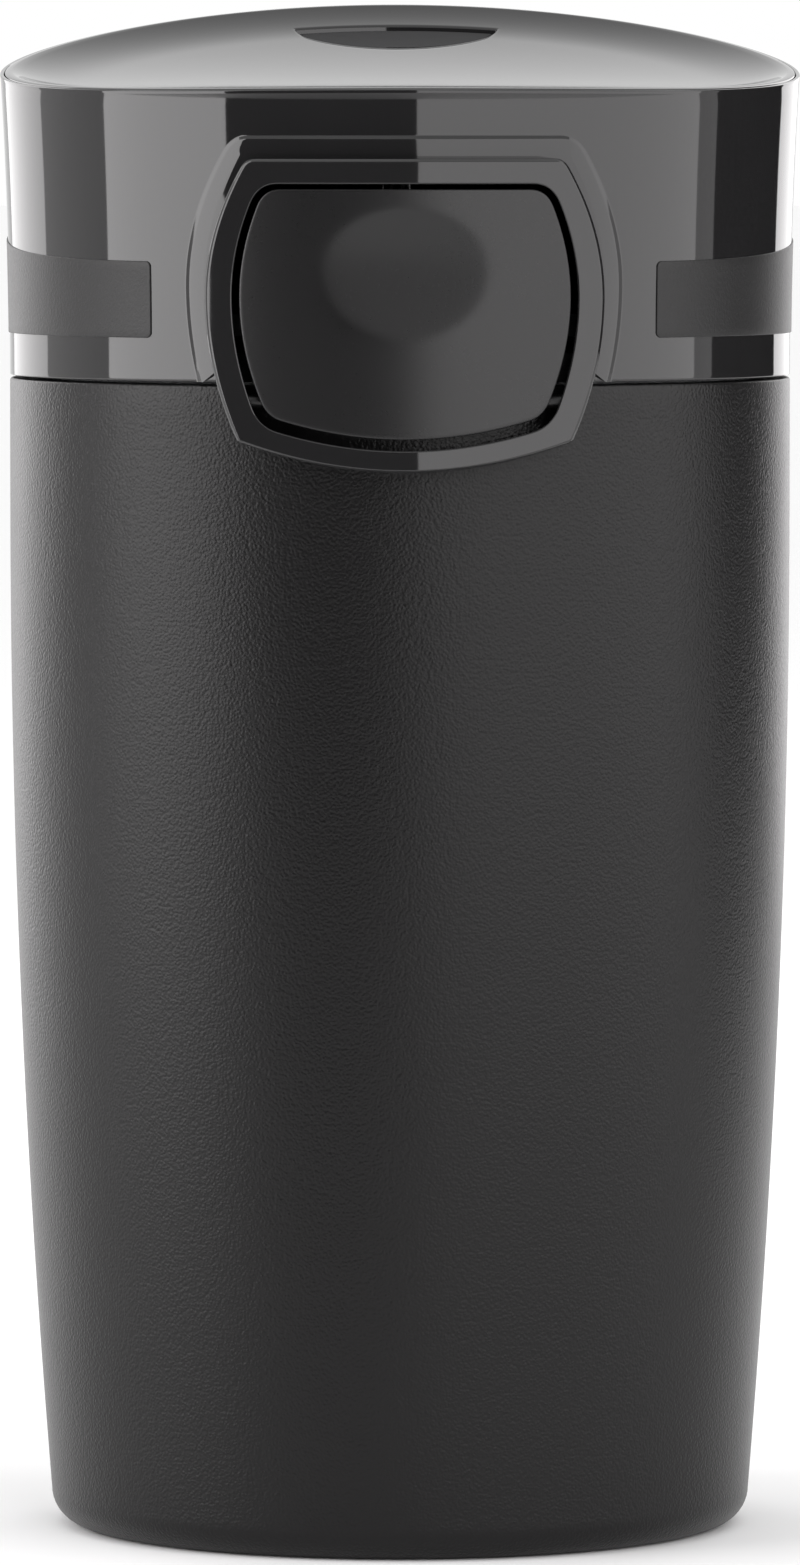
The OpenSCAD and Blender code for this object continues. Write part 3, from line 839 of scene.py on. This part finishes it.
class TUMBLER_OT_drink_plug(bpy.types.Operator):
    """Makes the silicone plug that closes the drinking opening"""

    bl_idname = "tumbler.drink_plug"
    bl_label = "Drink plug"

    def execute(self, context):
        lid = context.scene.tumbler_lid
        base = 134.2 * MM
        flange = lens_loop(10.85 * MM, 32.9 * MM)
        middle = Vector((0.0, LENS_MIDDLE, 0.0))
        flange_drop = lid.dish + lid.cover + 0.15 * MM
        top_drop, soft = lid.dish + 0.2 * MM, 0.15 * MM

        def neck(inset):
            return lens_loop(9.72 * MM - inset, 32.3 * MM - inset)

        def on_surface(loop, drop, share=1.0):
            points = []
            for x, y in loop:
                y = mix(middle.y, y, share)
                points.append(Vector((x * share, y, rim_height(lid, y, drop))))
            return points

        def level(loop, z, share=1.0):
            return [Vector((x * share, mix(middle.y, y, share), z)) for x, y in loop]

        rings = [level(flange, base, 0.0), level(flange, base, 0.97), level(flange, base + 0.3 * MM),
                 on_surface(flange, flange_drop), on_surface(neck(0.0), flange_drop),
                 on_surface(neck(0.0), top_drop + soft)]
        rings += [on_surface(neck(inset), top_drop + drop) for inset, drop in list(round_edge(soft))[1:]]
        rings += [on_surface(neck(soft), top_drop + 0.10 * MM * (1 - share), share)
                  for share in (0.9, 0.75, 0.5, 0.25, 0.0)]
        bm = bmesh.new()
        lay_skin(bm, rings)
        make_piece("drink_plug_silicone", bm, "valve", "dark_silicone", "drink_plug")
        return {"FINISHED"}


class TUMBLER_OT_bezel(bpy.types.Operator):
    """Makes the gloss frame round the button"""

    bl_idname = "tumbler.bezel"
    bl_label = "Button bezel"

    def execute(self, context):
        button = context.scene.tumbler_button
        face, back = button.bezel, button.back
        chamfer, soft, inner = 0.25 * MM, 0.05 * MM, 0.14 * MM

        def ring(shape, inset, radius):
            return on_cylinder(outline_loop(shape, inset), radius)

        def face_ring(share):
            outer, inside = outline_loop(BEZEL, chamfer), outline_loop(WINDOW, -inner)
            loop = [(mix(p[0], q[0], share), mix(p[1], q[1], share)) for p, q in zip(outer, inside)]
            return on_cylinder(loop, face)

        rings = [ring(BEZEL, 0.0, back), ring(BEZEL, 0.0, mix(back, face, 0.5)),
                 ring(BEZEL, 0.0, face - chamfer - soft), ring(BEZEL, soft, face - chamfer + soft),
                 ring(BEZEL, chamfer - soft, face - soft * 0.7)]
        rings += [face_ring(share) for share in (0.02, 0.05, 0.3, 0.65, 0.96, 1.0)]
        rings += [ring(WINDOW, -inner * 0.4, face - inner * 0.35), ring(WINDOW, 0.0, face - inner),
                  ring(WINDOW, 0.0, face - inner - soft), ring(WINDOW, 0.0, mix(back, face, 0.5)),
                  ring(WINDOW, 0.0, back), ring(BEZEL, 0.0, back)]
        bm = bmesh.new()
        lay_skin(bm, rings)
        make_piece("button_bezel_gloss", bm, "lid", "gloss_black", "button_bezel", 20.0)
        return {"FINISHED"}


class TUMBLER_OT_button(bpy.types.Operator):
    """Makes the satin thumb button with its dimple, arm and hinge ears"""

    bl_idname = "tumbler.button"
    bl_label = "Push button"

    def execute(self, context):
        button = context.scene.tumbler_button
        face, back = button.face, button.face - 1.7 * MM
        soft = 0.15 * MM
        middle = 118 * MM
        scoop = button.dimple_half ** 2 / (2 * button.dimple)
        blend = 0.11 * MM

        def dimple(x, z):
            """Depth of a scoop across the face, blended softly into it."""
            depth = button.dimple - x * x / (2 * face) - (z - middle) ** 2 / (2 * scoop)
            return (depth + math.hypot(depth, blend)) / 2

        def face_ring(share):
            points = []
            for x, z in outline_loop(BUTTON, soft):
                x, z = x * share, mix(middle, z, share)
                radius = face - dimple(x, z)
                points.append(Vector((x, -math.sqrt(radius * radius - x * x), z)))
            return points

        def back_ring(share):
            loop = [(x * share, mix(middle, z, share)) for x, z in outline_loop(BUTTON)]
            return on_cylinder(loop, back)

        rings = [back_ring(share) for share in (0.0, 0.3, 0.65, 1.0)]
        rings += [on_cylinder(outline_loop(BUTTON, inset), face - drop)
                  for inset, drop in round_edge(soft, 5)]
        rings += [face_ring(share) for share in reversed(steps_between(0.0, 0.985, 42))]
        bm = bmesh.new()
        lay_skin(bm, rings)
        add_arm_and_ears(bm, back)
        make_piece("button_satin", bm, "push_button", "satin_black", "button", 40.0)
        return {"FINISHED"}


def add_arm_and_ears(bm, back):
    """Adds the arm that pushes the slider and the two ears on the hinge pins."""
    arm_w, arm_r, arm_y, arm_z = 6 * MM, 1.2 * MM, -35.9 * MM, 120.75 * MM
    hinge_y, hinge_z = -36.2 * MM, 106.5 * MM
    turned = Matrix.Rotation(math.radians(90), 4, "Y")

    def bar(centre, size):
        placed = Matrix.Translation(centre) @ Matrix.Diagonal((*size, 1.0))
        made = bmesh.ops.create_cube(bm, size=1.0, matrix=placed)
        edges = list({edge for vertex in made["verts"] for edge in vertex.link_edges})
        bmesh.ops.bevel(bm, geom=edges, offset=0.15 * MM, affect="EDGES", segments=2, profile=0.5,
                        material=-1)

    def roller(centre, radius, width):
        bmesh.ops.create_cone(bm, cap_ends=True, segments=48, radius1=radius, radius2=radius, depth=width,
                              matrix=Matrix.Translation(centre) @ turned)

    reach = back - 0.4 * MM
    bar(Vector((0, -(reach - arm_y) / 2, arm_z)), (arm_w, reach + arm_y, 2 * arm_r))
    roller(Vector((0, arm_y, arm_z)), arm_r, arm_w)
    for side in (-1, 1):
        roller(Vector((side * 12.1 * MM, hinge_y, hinge_z)), 1.15 * MM, 1.2 * MM)


class TUMBLER_OT_valve_spring(bpy.types.Operator):
    """Winds the spring that returns the valve, at the fixed length of its CAD part"""

    bl_idname = "tumbler.valve_spring"
    bl_label = "Valve spring"

    def execute(self, context):
        low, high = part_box("valve_spring")
        wire, sides, turns, per_turn = 0.4 * MM, 12, 5.5, 40
        coil = high.x - wire
        count = int(turns * per_turn)
        bottom, top = low.z + wire, high.z - wire
        rings = []
        for i in range(count + 1):
            angle = math.tau * i / per_turn
            z = mix(bottom, top, i / count)
            scale = 0.0 if i in (0, count) else 1.0
            rings.append([Vector(((coil + scale * wire * math.cos(t)) * math.cos(angle),
                                  (coil + scale * wire * math.cos(t)) * math.sin(angle),
                                  z + scale * wire * math.sin(t))) for t in full_turn(sides)])
        bm = bmesh.new()
        lay_skin(bm, rings)
        spring = make_piece("valve_spring_coil", bm, "lid", "spring_steel", "valve_spring", 60.0)
        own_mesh(spring)
        return {"FINISHED"}


# ---- studio ----

# Sectors of the ring of cards: first and last angle from the camera's side, and brightness
CARDS = [
    ("flag_front", -51, 4, 0.0),
    ("card_right", 4, 94, 2.7),
    ("card_right_edge", 94, 102, 1.0),
    ("flag_right", 102, 142, 0.0),
    ("card_rim_right", 142, 166, 2.5),
    ("card_left", -94, -51, 5.0),
    ("card_left_rear", -126, -94, 0.9),
    ("card_rim_left", -159, -126, 2.7),
]


def make_card(name, start, end, brightness, studio):
    bm = bmesh.new()
    bottom = bm.verts.new(around(studio.cards, math.radians(start), 0.0))
    top = bm.verts.new(around(studio.cards, math.radians(start), 0.75))
    edge = bm.edges.new((bottom, top))
    bmesh.ops.spin(bm, geom=[bottom, top, edge], cent=(0, 0, 0), axis=(0, 0, 1),
                   angle=math.radians(end - start), steps=max(4, (end - start) // 3), use_duplicate=False)
    mesh = bpy.data.meshes.new(name)
    bm.to_mesh(mesh)
    bm.free()
    material = bpy.data.materials.new(name)
    material.use_nodes = True
    shader = material.node_tree.nodes["Principled BSDF"]
    shader.inputs["Base Color"].default_value = (0.004, 0.004, 0.004, 1.0)
    shader.inputs["Specular IOR Level"].default_value = 0.0
    shader.inputs["Emission Color"].default_value = (1.0, 0.985, 0.99, 1.0)
    shader.inputs["Emission Strength"].default_value = brightness
    mesh.materials.append(material)
    card = bpy.data.objects.new(name, mesh)
    bpy.context.scene.collection.objects.link(card)
    card.visible_camera = False


class TUMBLER_OT_studio(bpy.types.Operator):
    """Makes the camera, the pale floor, the surroundings and the ring of cards"""

    bl_idname = "tumbler.studio"
    bl_label = "Studio"

    def execute(self, context):
        scene, studio = context.scene, context.scene.tumbler_studio
        scene.view_settings.view_transform = "Standard"
        camera = bpy.data.objects.new("camera", bpy.data.cameras.new("camera"))
        camera.data.lens = studio.lens
        camera.data.sensor_width = 36.0
        camera.location = around(studio.distance, math.radians(studio.turn), studio.height)
        aim = Vector((0.0, 0.0, studio.aim)) - camera.location
        camera.rotation_mode = "QUATERNION"
        camera.rotation_quaternion = aim.to_track_quat("-Z", "Y")
        camera.data.clip_end = 100.0
        scene.collection.objects.link(camera)
        scene.camera = camera

        world = bpy.data.worlds.new("surroundings")
        world.use_nodes = True
        world.node_tree.nodes["Background"].inputs["Color"].default_value = (1.0, 1.0, 1.0, 1.0)
        world.node_tree.nodes["Background"].inputs["Strength"].default_value = studio.world
        scene.world = world

        bm = bmesh.new()
        bmesh.ops.create_circle(bm, cap_ends=True, segments=96, radius=14.0,
                                matrix=Matrix.Translation((0, 0, FLOOR_Z)))
        mesh = bpy.data.meshes.new("floor")
        bm.to_mesh(mesh)
        bm.free()
        pale = bpy.data.materials.new("floor_pale")
        pale.use_nodes = True
        shader = pale.node_tree.nodes["Principled BSDF"]
        shader.inputs["Base Color"].default_value = (0.95, 0.95, 0.95, 1.0)
        shader.inputs["Roughness"].default_value = 0.9
        shader.inputs["Specular IOR Level"].default_value = 0.1
        mesh.materials.append(pale)
        floor = bpy.data.objects.new("floor", mesh)
        scene.collection.objects.link(floor)
        for name, start, end, brightness in CARDS:
            make_card(name, start, end, brightness, studio)
        return {"FINISHED"}


class TUMBLER_PT_panel(bpy.types.Panel):
    """Lists the pieces of the tumbler"""

    bl_idname = "TUMBLER_PT_panel"
    bl_label = "Push-button tumbler"
    bl_space_type = "VIEW_3D"
    bl_region_type = "UI"
    bl_category = "Tumbler"

    def draw(self, context):
        for step in STEPS:
            self.layout.operator(step.bl_idname)
        for name in SETTINGS:
            group = getattr(context.scene, name)
            box = self.layout.box()
            for key in group.bl_rna.properties.keys():
                if key not in ("rna_type", "name"):
                    box.prop(group, key)


STEPS = (TUMBLER_OT_finishes, TUMBLER_OT_outer_shell, TUMBLER_OT_lid_collar, TUMBLER_OT_grip_band,
         TUMBLER_OT_top_cover, TUMBLER_OT_drink_plug, TUMBLER_OT_bezel, TUMBLER_OT_button,
         TUMBLER_OT_valve_spring, TUMBLER_OT_studio)


def register():
    for cls in (*SETTINGS.values(), *STEPS, TUMBLER_PT_panel):
        bpy.utils.register_class(cls)
    for name, cls in SETTINGS.items():
        setattr(bpy.types.Scene, name, PointerProperty(type=cls))


def unregister():
    for name in SETTINGS:
        delattr(bpy.types.Scene, name)
    for cls in (TUMBLER_PT_panel, *reversed(STEPS), *reversed(SETTINGS.values())):
        bpy.utils.unregister_class(cls)


def main():
    register()
    bpy.ops.tumbler.finishes()
    bpy.ops.tumbler.outer_shell()
    bpy.ops.tumbler.lid_collar()
    bpy.ops.tumbler.grip_band()
    bpy.ops.tumbler.top_cover()
    bpy.ops.tumbler.drink_plug()
    bpy.ops.tumbler.bezel()
    bpy.ops.tumbler.button()
    bpy.ops.tumbler.valve_spring()
    bpy.ops.tumbler.studio()


if __name__ == "__main__":
    main()
